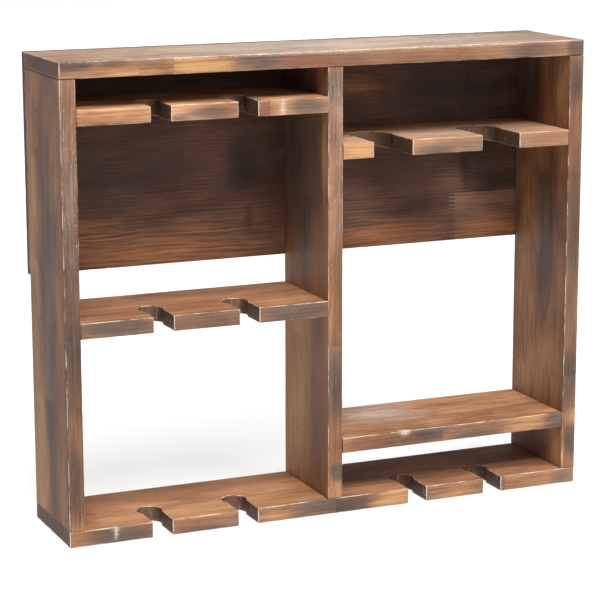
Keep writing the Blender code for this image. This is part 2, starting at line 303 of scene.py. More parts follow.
def inset(points, insets):
    """The outline moved inwards by its own amount at each edge, with mitred corners."""
    ahead = np.roll(points, -1, axis=0) - points
    normal = np.stack([-ahead[:, 1], ahead[:, 0]], 1) / np.linalg.norm(ahead, axis=1)[:, None]
    before, amount_before = np.roll(normal, 1, axis=0), np.roll(insets, 1)
    det = before[:, 0] * normal[:, 1] - before[:, 1] * normal[:, 0]
    straight = np.abs(det) < STRAIGHT_TURN
    safe = np.where(straight, 1.0, det)
    mitre = np.stack([amount_before * normal[:, 1] - insets * before[:, 1],
                      insets * before[:, 0] - amount_before * normal[:, 0]], 1) / safe[:, None]
    plain = normal * ((insets + amount_before) / 2)[:, None]
    return points + np.where(straight[:, None], plain, mitre)


def distance_to_edges(places, starts, ends):
    """Distance in the plane from each place to the nearest of some edges."""
    nearest = np.full(len(places), 1.0)
    for start, end in zip(starts, ends):
        along = end - start
        share = np.clip((places - start) @ along / max(along @ along, 1e-18), 0, 1)
        foot = start + share[:, None] * along
        nearest = np.minimum(nearest, np.hypot(*(places - foot).T))
    return nearest


def inside(places, points):
    """Which places lie inside an outline."""
    odd = np.zeros(len(places), bool)
    x, y = places.T
    for (x0, y0), (x1, y1) in zip(points, np.roll(points, -1, axis=0)):
        if y0 != y1:
            crosses = ((y0 > y) != (y1 > y)) & (x < (x1 - x0) * (y - y0) / (y1 - y0) + x0)
            odd ^= crosses
    return odd


def face_grid(points):
    """Places spread evenly over a face, clear of its outline."""
    low, high = points.min(0), points.max(0)
    rows = np.arange(low[1] + FACE_SPACING / 2, high[1], ROW_SPACING)
    grid = []
    for number, v in enumerate(rows):
        start = low[0] + (FACE_SPACING / 2 if number % 2 else FACE_SPACING)
        grid += [(u, v) for u in np.arange(start, high[0], FACE_SPACING)]
    grid = np.array(grid)
    grid = grid[inside(grid, points)]
    clear = distance_to_edges(grid, points, np.roll(points, -1, axis=0)) > FACE_SPACING / 2
    return grid[clear]


def board_mesh(name, outline, thickness_range, axes):
    """A closed board: rounded rings round the outline, and both faces filled with triangles."""
    outline = spaced(round_corners(outline))
    points = np.array([(u, v) for u, v, _, _ in outline])
    radii = np.array([finish for _, _, finish, _ in outline])
    depth = np.maximum(radii, np.roll(radii, 1))
    low, high = thickness_range
    rings = []
    for step in range(ROUNDING_STEPS + 1):
        turn = 0.5 * math.pi * (1 - step / ROUNDING_STEPS)
        flat = inset(points, radii * (1 - math.cos(turn)))
        rings.append((flat, low + depth * (1 - math.sin(turn))))
    rings += [(points, np.full(len(points), low + (high - low) * share)) for share in SIDE_SHARES]
    rings += [(flat, low + high - level) for flat, level in reversed(rings[: ROUNDING_STEPS + 1])]
    count = len(points)
    corners = np.concatenate([np.column_stack([flat, level]) for flat, level in rings])
    edge = rings[0][0]
    grid = face_grid(edge)
    flat = [Vector(p) / MM for p in np.concatenate([edge, grid])]
    made, _, triangles, came_from, _, _ = geometry.delaunay_2d_cdt(
        flat, [], [list(range(count))], 1, 1e-6)
    assert all(len(source) == 1 for source in came_from), name
    last_ring = (len(rings) - 1) * count
    low_start = len(corners)
    high_start = low_start + len(grid)
    low_face = np.column_stack([grid, np.full(len(grid), low)])
    high_face = np.column_stack([grid, np.full(len(grid), high)])
    corners = np.concatenate([corners, low_face, high_face])
    faces = []
    for ring in range(len(rings) - 1):
        for i in range(count):
            j = (i + 1) % count
            base, above = ring * count, (ring + 1) * count
            faces.append((base + i, base + j, above + j, above + i))
    for triangle in triangles:
        a, b, c = (came_from[k][0] for k in triangle)
        faces.append([k + last_ring if k < count else k - count + high_start for k in (a, b, c)])
        faces.append([k if k < count else k - count + low_start for k in (c, b, a)])
    world = np.zeros_like(corners)
    world[:, list(axes)] = corners
    if axes != (0, 1, 2):
        faces = [tuple(reversed(face)) for face in faces]
    mesh = bpy.data.meshes.new(name)
    mesh.from_pydata(world.tolist(), [], faces)
    mesh.validate()
    return mesh, outline


def turned(shape, profile, start, direction, sides=ROUND_SIDES):
    """Adds a closed turned solid; the profile lists (distance along direction, radius) in mm."""
    turn = direction.to_track_quat("Z", "Y").to_matrix()
    rings = []
    for along, radius in profile:
        ring = []
        for side in range(sides):
            angle = 2 * math.pi * side / sides
            local = Vector((radius * math.cos(angle), radius * math.sin(angle), along)) * MM
            ring.append(shape.verts.new(start + turn @ local))
        rings.append(ring)
    for lower, upper in zip(rings, rings[1:]):
        for side in range(sides):
            following = (side + 1) % sides
            shape.faces.new((lower[side], lower[following], upper[following], upper[side]))
    shape.faces.new(list(reversed(rings[0])))
    shape.faces.new(rings[-1])


def prism(shape, outline, depth, place):
    """Adds a prism behind the wall plane: an outline in X and Z, from PAST behind it to a depth."""
    rings = []
    for y in (place.y + PAST, place.y - depth):
        rings.append([shape.verts.new((place.x + u, y, place.z + v)) for u, v in outline])
    count = len(outline)
    for i in range(count):
        j = (i + 1) % count
        shape.faces.new((rings[0][i], rings[0][j], rings[1][j], rings[1][i]))
    shape.faces.new(list(reversed(rings[0])))
    shape.faces.new(rings[1])


def stadium(width, length):
    """Outline of a strip with round ends, its length along v."""
    radius = width / 2
    reach = length / 2 - radius
    top = arc((0, reach), radius, 0, math.pi, HOLE_STEPS)
    bottom = arc((0, -reach), radius, math.pi, 2 * math.pi, HOLE_STEPS)
    return top + bottom


def keyhole():
    """Outline of a keyhole: a round entry below, a narrow slot that rises from it."""
    meeting = math.asin(SLOT_RADIUS / ENTRY_RADIUS)
    start, end = 0.5 * math.pi + meeting, 2.5 * math.pi - meeting
    entry = arc((0, -ENTRY_DROP), ENTRY_RADIUS, start, end, HOLE_STEPS)
    return entry + arc((0, SLOT_RISE), SLOT_RADIUS, 0, math.pi, HOLE_STEPS // 2)


def subtract(piece, shape):
    """Takes a cutter's shape away from a piece, and returns the new piece."""
    cutter = from_bmesh("cutter", shape)
    boolean = piece.modifiers.new("holes", "BOOLEAN")
    boolean.operation = "DIFFERENCE"
    boolean.solver = "EXACT"
    boolean.object = cutter
    made = baked(piece, piece.name)
    bpy.data.objects.remove(cutter)
    return made


# --- Fasteners: where they are, from the frame --------------------------------------------------


def overlaps(first, second):
    """Whether two boxes, each a low and a high corner, share space."""
    return all(first[0][k] < second[1][k] and second[0][k] < first[1][k] for k in range(3))


def nail_place(node):
    """Where a nail enters the wood, and its direction."""
    low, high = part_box(node)
    middle = (low + high) / 2
    upright = high.z - low.z > high.x - low.x
    axis = Vector((0, 0, 1)) if upright else Vector((1, 0, 0))
    direction = -axis if "_head_" in node or "_right_" in node.replace("right_side", "") else axis
    length = max(high - low)
    return middle - direction * (length / 2 + NAIL_SET), direction


def screw_place(node):
    """The middle of a screw's head on the wall plane, and its length."""
    low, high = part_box(node)
    middle = (low + high) / 2
    return Vector((middle.x, high.y, middle.z)), high.y - low.y


def screw_hole(length):
    """Profile of a countersunk hole for a screw, in mm."""
    head = (SCREW_HEAD_RADIUS + GAP / 2) / MM
    shank = (SCREW_RADIUS + GAP / 2) / MM
    end = (length + GAP) / MM
    return ((-PAST / MM, head), (0.0, head), (SCREW_HEAD_DEPTH / MM, shank), (end, shank))


NODES = sorted(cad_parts)
NAILS = [node for node in NODES if node.startswith("nail_")]
PANEL_SCREWS = [node for node in NODES if node.startswith("panel_screw")]
HANGER_SCREWS = [node for node in NODES if node.startswith("hanger_screw")]
PLATES = [node for node in NODES if node.startswith("hanger_plate")]


def holes_of(board):
    """A cutter with every nail hole and screw hole of a board, or None."""
    shape = bmesh.new()
    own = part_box(board)
    for node in NAILS:
        if overlaps(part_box(node), own):
            start, direction = nail_place(node)
            turned(shape, NAIL_HOLE, start, direction)
    for node in PANEL_SCREWS + HANGER_SCREWS:
        if overlaps(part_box(node), own):
            head, length = screw_place(node)
            turned(shape, screw_hole(length), head, Vector((0, -1, 0)))
    if shape.verts:
        return shape
    shape.free()
    return None


def seats_of(board):
    """Cutters for a keyhole plate's seat and for the pocket behind it, deepest last."""
    for node in PLATES:
        low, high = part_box(node)
        if overlaps((low, high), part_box(board)):
            place = Vector(((low.x + high.x) / 2, high.y, (low.z + high.z) / 2))
            seat = stadium(PLATE["width"] + GAP, PLATE["length"] + GAP)
            pocket = stadium(POCKET["width"], POCKET["length"])
            for outline, depth in ((seat, PLATE["thickness"] + GAP / 2), (pocket, POCKET["depth"])):
                shape = bmesh.new()
                prism(shape, outline, depth, place)
                yield shape


# --- Marks on the boards ------------------------------------------------------------------------
# Stain patches by board, among them patches of painted shade and one of painted sheen, in rack millimetres:
# tint, strength, and where from and to in x, y and z

TINTS = ("char", "amber", "red", "pale")
FRONT = (-62, -50)  # on a front edge, in y
DEEP = (-60, 60)  # the whole depth
PANEL_FACE = (34, 50)  # on the panel's front face, in y

PATCHES = {
    "top_board": (
        ("char", 0.95, (-275, -228), FRONT, (434, 450)),
        ("char", 0.60, (-242, -190), FRONT, (436, 448)),
        ("amber", 0.50, (-262, -150), FRONT, (424, 438)),
        ("amber", 0.80, (-165, -100), FRONT, (422, 450)),
        ("char", 0.45, (-330, 330), FRONT, (420, 454)),
        ("char", 0.95, (-104, -28), FRONT, (428, 450)),
        ("red", 0.80, (-62, 5), FRONT, (424, 444)),
        ("red", 0.45, (-5, 180), FRONT, (422, 444)),
        ("char", 0.65, (160, 255), FRONT, (422, 450)),
        ("char", 0.95, (244, 272), FRONT, (424, 450)),
        ("char", 0.80, (-272, -262), DEEP, (424, 450)),
        # painted sheen: this pale grey veil over the top face stands for the reflection of the bright
        # background
        ("pale", 0.72, (-310, 350), (-95, 95), (442, 446)),
        ("char", 0.45, (60, 330), (-30, 80), (442, 446)),
    ),
    "left_side": (
        ("char", 0.56, (-290, -240), FRONT, (-60, 500)),
        ("red", 0.30, (-290, -240), FRONT, (-40, 210)),
        ("char", 0.55, (-268, -262), (-45, 28), (-80, 520)),
        ("amber", 0.50, (-268, -262), (14, 60), (60, 500)),
        ("amber", 0.75, (-268, -262), (2, 62), (-60, 170)),
        ("red", 0.40, (-268, -262), (-58, -34), (-40, 420)),
        ("char", 0.55, (-275, -240), FRONT, (205, 300)),
        ("char", 0.85, (-275, -240), FRONT, (130, 232)),
        ("red", 0.30, (-262, -248), FRONT, (90, 225)),
        ("char", 0.80, (-275, -248), FRONT, (25, 110)),
        ("amber", 0.55, (-270, -244), FRONT, (-10, 32)),
        ("pale", 0.22, (-290, -240), FRONT, (230, 480)),
    ),
    "divider": (
        ("char", 0.70, (-10, 14), FRONT, (385, 436)),
        ("red", 0.70, (-12, 4), FRONT, (346, 388)),
        ("char", 0.50, (-4, 14), FRONT, (120, 420)),
        ("char", 0.80, (-10, 14), FRONT, (80, 180)),
        ("red", 0.85, (-4, 14), FRONT, (46, 80)),
        ("char", 0.95, (-6, 14), FRONT, (30, 52)),
        # partly painted shade: the divider's left face is darker above the middle shelf, for a darker stain
        # and for the shelves' shadow
        ("char", 0.85, (-8, -4), (-58, 60), (205, 450)),
        ("amber", 0.90, (-8, -4), (-56, -40), (300, 395)),
        ("char", 0.60, (-8, -4), (-52, -16), (60, 205)),
        ("red", 0.70, (-8, -4), (-58, -10), (-20, 230)),
        ("amber", 0.85, (-8, -4), (-20, 70), (10, 220)),
        ("pale", 0.22, (-14, 18), FRONT, (270, 480)),
    ),
    "right_side": (
        ("char", 0.75, (244, 270), FRONT, (370, 436)),
        ("red", 0.55, (244, 262), FRONT, (300, 395)),
        ("char", 0.60, (246, 270), FRONT, (60, 420)),
        ("char", 0.75, (244, 270), FRONT, (68, 150)),
        ("amber", 0.50, (250, 270), FRONT, (58, 78)),
        ("char", 0.85, (250, 270), FRONT, (24, 64)),
        # partly painted shade: the right side's inner face is darker higher up, for a darker stain and for
        # the shelves' shadow
        ("char", 0.65, (248, 252), (-50, 10), (150, 335)),
        ("char", 0.70, (248, 252), (-10, 60), (360, 440)),
        ("amber", 0.55, (248, 252), (-62, -20), (365, 440)),
        ("amber", 0.60, (248, 252), (-60, 60), (60, 150)),
        ("red", 0.80, (248, 252), (-40, 70), (-10, 62)),
        ("amber", 0.70, (248, 252), (-70, -10), (-5, 66)),
        ("amber", 0.45, (248, 252), (0, 60), (70, 300)),
    ),
    "left_upper_shelf": (
        ("char", 0.80, (-150, -92), FRONT, (386, 400)),
        ("char", 0.60, (-170, -135), FRONT, (384, 394)),
        ("red", 0.60, (-82, -52), FRONT, (384, 402)),
        ("char", 0.80, (-50, -5), FRONT, (382, 404)),
        ("pale", 0.65, (-55, -49), FRONT, (382, 404)),
    ),
    "left_middle_shelf": (
        ("char", 1.00, (-260, -176), FRONT, (194, 214)),
        ("char", 0.55, (-170, -90), FRONT, (200, 214)),
        ("char", 0.85, (-82, 4), FRONT, (190, 214)),
        ("char", 0.50, (-300, 40), FRONT, (184, 218)),
        ("red", 0.45, (-200, -60), (-10, 60), (207, 211)),
    ),
    "neck_shelf": (
        ("char", 0.56, (40, 300), FRONT, (330, 364)),
        ("char", 0.75, (74, 140), FRONT, (336, 354)),
        ("red", 0.50, (190, 262), FRONT, (336, 362)),
        ("amber", 0.50, (0, 48), FRONT, (334, 362)),
        ("pale", 0.36, (-20, 270), (-75, 35), (355, 359)),
    ),
    "bottle_shelf": (
        ("red", 0.70, (2, 56), FRONT, (54, 78)),
        ("char", 0.80, (76, 130), FRONT, (60, 78)),
        ("char", 0.85, (116, 190), FRONT, (52, 68)),
        ("amber", 0.50, (176, 236), FRONT, (54, 80)),
        ("char", 0.42, (-20, 280), FRONT, (50, 82)),
        ("char", 1.00, (226, 258), FRONT, (50, 78)),
        ("pale", 0.90, (68, 82), FRONT, (69, 78)),
        ("pale", 0.60, (30, 130), (-25, 50), (71, 76)),
    ),
    "base_board": (
        ("char", 0.85, (-256, -176), FRONT, (-8, 20)),
        ("char", 0.75, (-172, -92), FRONT, (-10, 9)),
        ("amber", 0.50, (-86, -40), FRONT, (-8, 18)),
        ("char", 0.85, (-54, 50), FRONT, (-4, 20)),
        ("amber", 0.70, (36, 90), FRONT, (-8, 20)),
        ("amber", 0.50, (92, 172), FRONT, (-10, 22)),
        ("char", 0.60, (230, 275), FRONT, (-6, 20)),
        ("pale", 0.75, (-223, -218), FRONT, (2, 20)),
        ("char", 0.46, (-320, 320), FRONT, (-14, 24)),
        # The base board's top: redder and darker towards the rear, lighter towards the front
        ("red", 0.50, (-290, 20), (-2, 90), (12, 18)),
        ("amber", 0.55, (-270, 0), (-70, 0), (12, 18)),
        ("char", 0.70, (-272, -262), DEEP, (-10, 25)),
    ),
    "panel": (
        ("char", 1.00, (-78, -22), PANEL_FACE, (284, 372)),
        ("char", 0.60, (-190, -70), PANEL_FACE, (310, 360)),
        ("char", 0.70, (-290, -210), PANEL_FACE, (290, 345)),
        # partly painted shadow: this black patch on the panel above the neck shelf is a dark stain and also
        # the shadow that lies there
        ("char", 1.00, (75, 255), PANEL_FACE, (354, 418)),
        ("char", 0.40, (75, 160), PANEL_FACE, (284, 314)),
        ("char", 0.90, (180, 202), PANEL_FACE, (285, 330)),
        ("char", 0.55, (206, 236), PANEL_FACE, (262, 325)),
        ("char", 0.80, (100, 182), PANEL_FACE, (260, 288)),
        ("char", 0.80, (-52, -36), PANEL_FACE, (255, 295)),
        ("red", 0.60, (-250, -110), PANEL_FACE, (360, 395)),
        ("red", 0.60, (20, 150), PANEL_FACE, (305, 335)),
        ("amber", 0.55, (-120, -70), PANEL_FACE, (285, 312)),
        ("amber", 0.75, (30, 110), PANEL_FACE, (380, 414)),
        ("amber", 0.85, (-300, 0), PANEL_FACE, (214, 282)),
        ("amber", 1.00, (30, 185), PANEL_FACE, (212, 276)),
        ("amber", 1.00, (165, 290), PANEL_FACE, (215, 272)),
    ),
    "panel_lower_left": (
        ("amber", 0.75, (-330, -120), PANEL_FACE, (232, 300)),
        ("amber", 0.60, (-160, -50), PANEL_FACE, (240, 290)),
        ("char", 0.65, (-275, -150), PANEL_FACE, (226, 256)),
    ),
}

# Finger joints in a board's length, mm along the grain from the board's low end
JOINTS = {
    "top_board": (75.0, 108.0, 395.0),
    "base_board": (40.0, 268.0, 452.0),
    "left_side": (117.0, 245.0, 340.0),
    "right_side": (96.0, 300.0),
    "divider": (150.0, 292.0),
    "left_upper_shelf": (186.0,),
    "neck_shelf": (60.0,),
    "bottle_shelf": (108.0,),
}
MOST_JOINTS = 3
NO_JOINT = 9999.0  # past the end of any board

# How the marks fade
PATCH_REACH = 1.2  # a patch ends this far out, against its stated half size
PATCH_SOFTNESS = 0.7
CUT_FADE = 0.4  # mm over which a sawn wall's look fades out on the face
CUT_START = 1.4  # full up to 0.4 of that distance

# Boards that took less stain, or more
LIGHTNESS = {
    "neck_shelf": 0.14,
    "left_upper_shelf": 0.12,
    "left_side": -0.08,
    "right_side": -0.05,
    "panel_upper_left": 0.06,
    "panel_lower_left": 0.08,
    "panel_lower_right": 0.22,
    "panel_upper_right": 0.04,
}


def write_attribute(mesh, name, kind, field, values):
    """Writes one value for each vertex."""
    made = mesh.attributes.new(name, kind, "POINT")
    made.data.foreach_set(field, np.ascontiguousarray(values, np.float32).ravel())


def mark(piece, outline, thickness_range, axes, seed, joints, lightness, patches):
    """Writes what the wood material reads: grain, joints, seed, lightness, edge, cut, end and stain, whose
    patches include painted shade and a painted sheen.
    """
    mesh = piece.data
    count = len(mesh.vertices)
    places = np.empty(count * 3)
    mesh.vertices.foreach_get("co", places)
    places = places.reshape(-1, 3)
    normals = np.empty(count * 3)
    mesh.vertices.foreach_get("normal", normals)
    normals = normals.reshape(-1, 3)
    local = places[:, list(axes)]
    points = np.array([(u, v) for u, v, _, _ in outline])
    following = np.roll(points, -1, axis=0)
    eased = np.array([finish > BUTTED for _, _, finish, _ in outline])
    sawn = np.array([flag for _, _, _, flag in outline]) == 1
    to_eased = distance_to_edges(local[:, :2], points[eased], following[eased]) / MM
    low, high = thickness_range
    to_face = np.minimum(local[:, 2] - low, high - local[:, 2]) / MM
    edge = np.maximum(to_eased, to_face)
    ahead = (following - points) / np.linalg.norm(following - points, axis=1)[:, None]
    before = np.roll(ahead, 1, axis=0)
    bend = before[:, 0] * ahead[:, 1] - before[:, 1] * ahead[:, 0]
    rounded = bend > ROUND_TURN
    peak = (bend > SQUARE_TURN) | (rounded & np.roll(rounded, 1) & np.roll(rounded, -1))
    sharp = points[peak & eased & np.roll(eased, 1)]
    if len(sharp):
        edge = np.minimum(edge, distance_to_edges(local[:, :2], sharp, sharp) / MM)
    cut = np.zeros(count)
    if sawn.any():
        to_sawn = distance_to_edges(local[:, :2], points[sawn], following[sawn]) / MM
        cut = np.clip(CUT_START - to_sawn / CUT_FADE, 0, 1)
    grain = np.column_stack([local[:, 0] - points[:, 0].min(), local[:, 1], local[:, 2]]) / MM
    stain = np.zeros((count, 4))
    for tint, strength, *spans in patches:
        start, end = np.array(spans).T
        away = np.linalg.norm((places / MM - (start + end) / 2) / ((end - start) / 2), axis=1)
        soft = np.clip(PATCH_REACH - away, 0, 1) ** PATCH_SOFTNESS * strength
        channel = TINTS.index(tint)
        stain[:, channel] = np.maximum(stain[:, channel], soft)
    write_attribute(mesh, "grain", "FLOAT_VECTOR", "vector", grain)
    write_attribute(mesh, "joints", "FLOAT_VECTOR", "vector", np.tile(joints, (count, 1)))
    write_attribute(mesh, "seed", "FLOAT", "value", np.full(count, seed))
    write_attribute(mesh, "lightness", "FLOAT", "value", np.full(count, lightness))
    write_attribute(mesh, "edge_mm", "FLOAT", "value", edge)
    write_attribute(mesh, "cut", "FLOAT", "value", cut)
    write_attribute(mesh, "end_grain", "FLOAT", "value", np.abs(normals[:, axes[0]]))
    write_attribute(mesh, "stain", "FLOAT_COLOR", "color", stain)


# --- Wear, by Geometry Nodes ---------------------------------------------------------------------


def wear_tree():
    """Knocks along the edges and the shallow waves that hand sanding leaves on the faces."""
    tree = bpy.data.node_groups.new("worn board", "GeometryNodeTree")
    face = tree.interface
    face.new_socket("Geometry", in_out="INPUT", socket_type="NodeSocketGeometry")
    sizes = {
        "Knock depth": 0.5 * MM,
        "Knocks per metre": 1 / (12.0 * MM),
        "Knock width mm": 1.6,
        "Wave depth": 0.12 * MM,
        "Waves per metre": 1 / (45.0 * MM),
    }
    for name, value in sizes.items():
        face.new_socket(name, in_out="INPUT", socket_type="NodeSocketFloat").default_value = value
    face.new_socket("Seed", in_out="INPUT", socket_type="NodeSocketFloat")
    face.new_socket("Material", in_out="INPUT", socket_type="NodeSocketMaterial")
    face.new_socket("Geometry", in_out="OUTPUT", socket_type="NodeSocketGeometry")
    given = add(tree, "NodeGroupInput").outputs
    place = add(tree, "GeometryNodeInputPosition")
    knocks = add(tree, VECTOR, {0: place, "Scale": given["Knocks per metre"]}, operation="SCALE")
    knocks = add(tree, NOISE, {"Vector": knocks, "W": given["Seed"], "Scale": 1.0, "Detail": 2.0},
                 noise_dimensions="4D")
    knocks = add(tree, RANGE, {"Value": knocks, "From Min": 0.55, "From Max": 0.78},
                 interpolation_type="SMOOTHSTEP")
    edge = add(tree, "GeometryNodeInputNamedAttribute", {"Name": "edge_mm"}, data_type="FLOAT").outputs[0]
    width = given["Knock width mm"]
    near = add(tree, RANGE, {"Value": edge, "From Min": 0.0, "From Max": width, "To Min": 1.0, "To Max": 0.0},
               interpolation_type="SMOOTHSTEP")
    knocks = add(tree, MATH, {0: knocks, 1: near}, operation="MULTIPLY")
    knocks = add(tree, MATH, {0: knocks, 1: given["Knock depth"]}, operation="MULTIPLY")
    waves = add(tree, VECTOR, {0: place, "Scale": given["Waves per metre"]}, operation="SCALE")
    waves = add(tree, NOISE, {"Vector": waves, "W": given["Seed"], "Scale": 1.0, "Detail": 1.0},
                noise_dimensions="4D")
    worn = add(tree, MATH, {0: waves, 1: given["Wave depth"], 2: knocks}, operation="MULTIPLY_ADD")
    inward = add(tree, MATH, {0: worn, 1: -1.0}, operation="MULTIPLY")
    normal = add(tree, "GeometryNodeInputNormal")
    shift = add(tree, VECTOR, {0: normal, "Scale": inward}, operation="SCALE")
    moved = add(tree, "GeometryNodeSetPosition", {"Geometry": given["Geometry"], "Offset": shift})
    real = add(tree, "GeometryNodeRealizeInstances", {"Geometry": moved})
    painted = add(tree, "GeometryNodeSetMaterial", {"Geometry": real, "Material": given["Material"]})
    add(tree, "NodeGroupOutput", {"Geometry": painted})
    return tree


def fastener_tree():
    """Sets one fastener on every point, turned to the point's drive direction and spun at random."""
    tree = bpy.data.node_groups.new("driven fasteners", "GeometryNodeTree")
    face = tree.interface
    face.new_socket("Geometry", in_out="INPUT", socket_type="NodeSocketGeometry")
    face.new_socket("Fastener", in_out="INPUT", socket_type="NodeSocketObject")
    face.new_socket("Size", in_out="INPUT", socket_type="NodeSocketFloat").default_value = 1.0
    face.new_socket("Seed", in_out="INPUT", socket_type="NodeSocketInt")
    face.new_socket("Material", in_out="INPUT", socket_type="NodeSocketMaterial")
    face.new_socket("Geometry", in_out="OUTPUT", socket_type="NodeSocketGeometry")
    given = add(tree, "NodeGroupInput").outputs
    model = add(tree, "GeometryNodeObjectInfo", {"Object": given["Fastener"]}).outputs["Geometry"]
    drive = add(tree, "GeometryNodeInputNamedAttribute", {"Name": "drive"}, data_type="FLOAT_VECTOR")
    aligned = add(tree, "FunctionNodeAlignRotationToVector", {"Vector": drive.outputs[0]}, axis="Z")
    spin = add(tree, "FunctionNodeRandomValue", {"Max": 2 * math.pi, "Seed": given["Seed"]},
               data_type="FLOAT")
    turn = add(tree, "ShaderNodeCombineXYZ", {"Z": spin.outputs[1]})
    spun = add(tree, "FunctionNodeRotateRotation", {"Rotation": aligned, "Rotate By": turn},
               rotation_space="LOCAL")
    placed = add(tree, "GeometryNodeInstanceOnPoints",
                 {"Points": given["Geometry"], "Instance": model, "Rotation": spun, "Scale": given["Size"]})
    real = add(tree, "GeometryNodeRealizeInstances", {"Geometry": placed})
    painted = add(tree, "GeometryNodeSetMaterial", {"Geometry": real, "Material": given["Material"]})
    add(tree, "NodeGroupOutput", {"Geometry": painted})
    return tree


def use_tree(piece, tree, values):
    """Puts a tree on a piece, with its inputs set by the sockets' identifiers."""
    modifier = piece.modifiers.new(tree.name, "NODES")
    modifier.node_group = tree
    for item in tree.interface.items_tree:
        if item.in_out == "INPUT" and item.name in values:
            modifier[item.identifier] = values[item.name]


# --- Materials -----------------------------------------------------------------------------------


def new_material(name):
    """A material with an empty node tree, and the tree."""
    made = bpy.data.materials.new(name)
    made.use_nodes = True
    made.node_tree.nodes.clear()
    return made, made.node_tree


# How often each pattern of the pine repeats in a millimetre, along the grain and across it
WANDER = (0.006, 0.022, 0.022)  # the grain bends over a hand's length
FIBRE = (0.012, 0.5, 0.5)  # streaks 2 mm wide and 80 mm long
HAIR = (0.06, 2.2, 2.2)  # hairs 0.5 mm wide and 17 mm long
CLOUD = (0.011, 0.034, 0.034)  # rag marks 30 mm wide and 90 mm long
SAW_MARK = (0.9, 0.9, 0.07)  # 1 mm apart, right through the board
RUB = (0.05, 0.3, 0.3)  # a rubbed edge comes and goes every 20 mm
FLECK = (0.35, 0.9, 0.9)  # flecks 1 mm wide and 3 mm long
RINGS = 0.092  # growth rings 3.4 mm apart

WANDER_REACH = (0.0, 12.0, 12.0)  # mm, from -6 to 6
LOG_SPREAD = (900.0, 90.0, 46.0)  # mm between the places in a log that two lengths come from
LOG_START = (0.0, -45.0, 16.0)
NEXT_LENGTH = 0.371  # step of the seed from one length of timber to the next
GLUE_LINE = (0.9, 0.2)  # mm from the joint, from clear to full
PALE_REACH = (0.28, 1.0)  # mm that an edge is rubbed pale, at least and at most

# How much of each pattern goes into the tone
RING_SHARE = -0.10
FIBRE_SHARE = 0.50
HAIR_SHARE = 0.34
CLOUD_SHARE = 0.70
LENGTH_SHARE = 0.05
TONE_RANGE = (0.49, 1.07)

BUMP_DEPTH = 0.22 * MM


